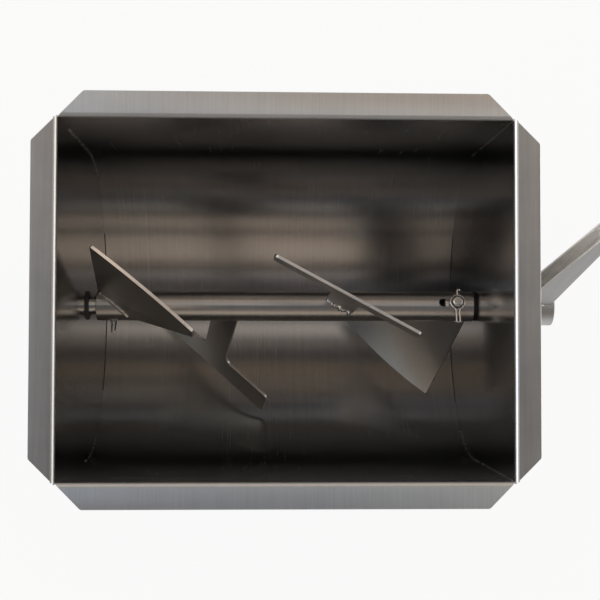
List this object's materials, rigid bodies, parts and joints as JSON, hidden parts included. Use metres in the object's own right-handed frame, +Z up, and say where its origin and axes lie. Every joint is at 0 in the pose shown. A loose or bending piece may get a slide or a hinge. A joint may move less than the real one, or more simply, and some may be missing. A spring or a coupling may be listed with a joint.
{
  "type": "manual meat mixer",
  "caption": "Hand-cranked meat mixer: open U-shaped stainless tank with folded rims on folded stands, removable mixing tube with skewed paddles, and a crank with a turning grip.",
  "frame": {"origin": "on the table, under the middle of the whole machine's length and width", "axes": "+Z up, +X along the mixing shaft towards the crank, +Y towards the back"},
  "size_m": [0.5922, 0.3, 0.353],
  "materials": {
    "tank_steel": "brushed stainless sheet",
    "stand_steel": "brushed stainless sheet",
    "turned_steel": "turned stainless bar",
    "tube_steel": "polished stainless tube",
    "paddle_steel": "ground stainless plate",
    "crank_steel": "polished stainless sheet",
    "clip_wire": "bright spring wire",
    "fasteners": "stainless fasteners",
    "foot_rubber": "matt black rubber",
    "seal_rubber": "dark rubber",
    "bushing_nylon": "off-white nylon",
    "grip_plastic": "satin black plastic"
  },
  "bodies": {
    "root": {"trough_shell": "tank_steel", "end_plate_left": "tank_steel", "end_plate_right": "tank_steel", "stand_left": "stand_steel", "stand_right": "stand_steel", "foot_front_left": "foot_rubber", "foot_front_right": "foot_rubber", "foot_back_left": "foot_rubber", "foot_back_right": "foot_rubber", "foot_screw_front_left": "fasteners", "foot_screw_front_right": "fasteners", "foot_screw_back_left": "fasteners", "foot_screw_back_right": "fasteners", "foot_nut_front_left": "fasteners", "foot_nut_front_right": "fasteners", "foot_nut_back_left": "fasteners", "foot_nut_back_right": "fasteners", "bearing_boss_left": "turned_steel", "bearing_boss_right": "turned_steel", "bushing_left": "bushing_nylon", "bushing_right": "bushing_nylon", "shaft_seal_left": "seal_rubber", "shaft_seal_right": "seal_rubber"},
    "mixer": {"mixing_tube": "tube_steel", "stub_shaft_left": "turned_steel", "drive_shaft": "turned_steel", "shaft_washer_left": "fasteners", "shaft_nut_left": "fasteners", "lock_pin_left": "turned_steel", "lock_pin_right": "turned_steel", "pin_washer_left": "clip_wire", "pin_washer_right": "clip_wire", "spring_clip_left": "clip_wire", "spring_clip_right": "clip_wire", "end_paddle_left": "paddle_steel", "end_paddle_right": "paddle_steel", "middle_paddle_left": "paddle_steel", "middle_paddle_right": "paddle_steel", "crank_hub": "turned_steel", "crank_set_screw": "fasteners", "crank_arm": "crank_steel", "grip_bolt": "fasteners", "grip_washer": "fasteners"},
    "grip": {"grip_sleeve": "grip_plastic"}
  },
  "joints": [
    {"name": "mixer_turn", "type": "hinge", "parent": "root", "child": "mixer", "pos_m": [-0.09621, 0, 0.19], "axis": [1, 0, 0], "continuous": true},
    {"name": "grip_spin", "type": "hinge", "parent": "mixer", "child": "grip", "pos_m": [0.24579, 0.0944, 0.30657], "axis": [1, 0, 0], "continuous": true}
  ]
}
